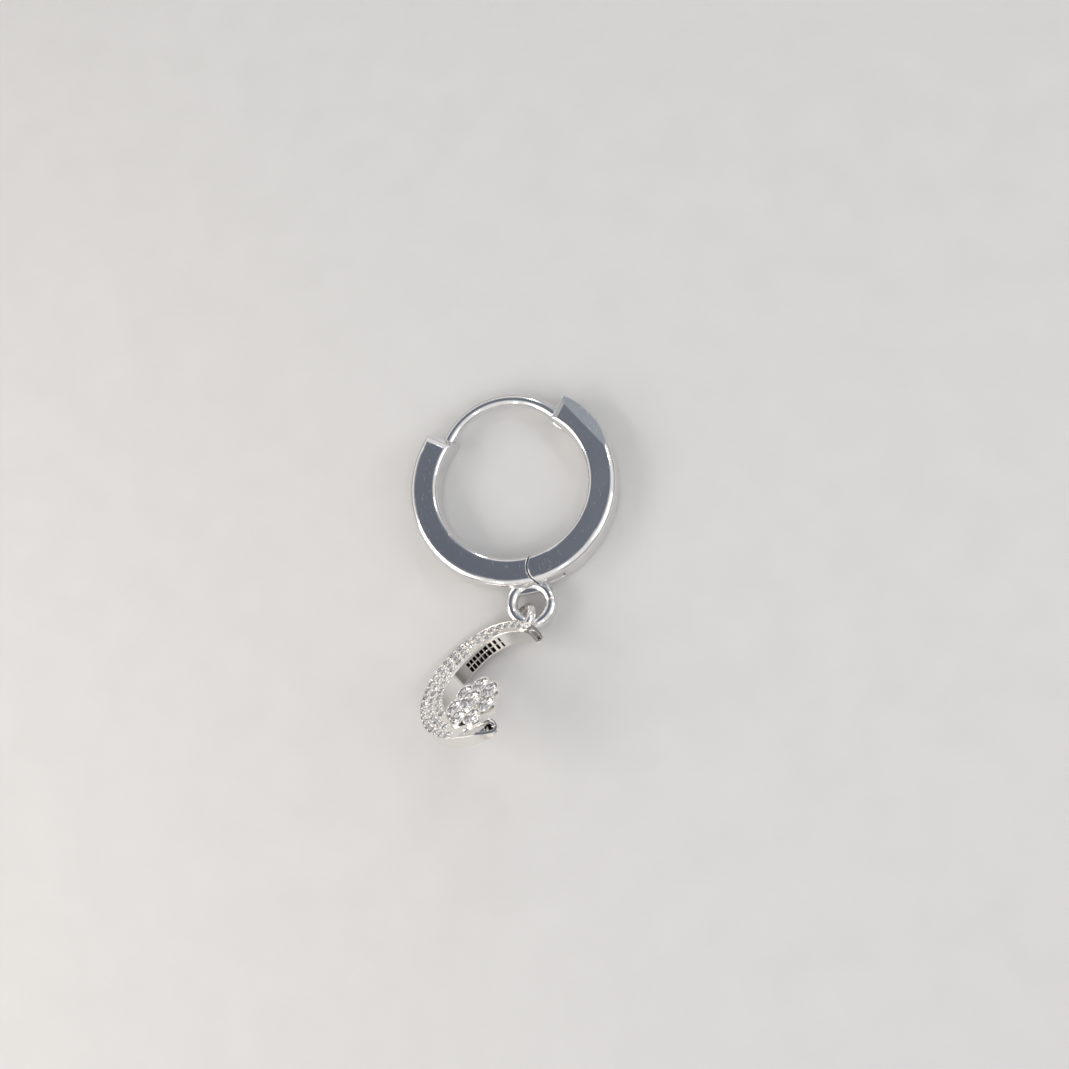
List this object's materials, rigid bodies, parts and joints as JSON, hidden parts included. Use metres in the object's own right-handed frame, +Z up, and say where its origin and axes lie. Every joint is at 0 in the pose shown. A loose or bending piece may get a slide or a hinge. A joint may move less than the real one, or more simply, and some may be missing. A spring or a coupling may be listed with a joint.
{
  "type": "hinged hoop earring with charm",
  "caption": "Small hinged hoop earring with an ear wire that snaps into a notch, a soldered ring and a stone-set crescent charm with a flower of cut stones.",
  "frame": {"origin": "on the floor under the middle of the hoop's ring", "axes": "+Z up out of the floor along the hoop's axis; the soldered ring points to -Y and the ear wire bows at +Y; +X is on the side of the half that swings"},
  "size_m": [0.0131, 0.0212, 0.0059],
  "materials": {
    "hoop_metal": "polished silver, rhodium plated",
    "pin_metal": "polished silver, end faces filed flush",
    "charm_metal": "polished silver, rhodium plated",
    "clear_stone": "clear cut stone"
  },
  "bodies": {
    "ear_body": {"post_half": "hoop_metal", "crescent": "charm_metal", "centre_stone": "clear_stone", "petal_stone_1": "clear_stone", "petal_stone_2": "clear_stone", "petal_stone_3": "clear_stone", "petal_stone_4": "clear_stone", "petal_stone_5": "clear_stone", "petal_stone_6": "clear_stone", "petal_stone_7": "clear_stone", "pave_stones": "clear_stone"},
    "swing_body": {"snap_half": "hoop_metal", "hinge_pin": "pin_metal"}
  },
  "joints": [
    {"name": "clasp_hinge", "type": "hinge", "parent": "ear_body", "child": "swing_body", "pos_m": [0.00129, -0.00529, 0.00093], "axis": [0, 0, -1], "range_deg": [0, 50]}
  ]
}
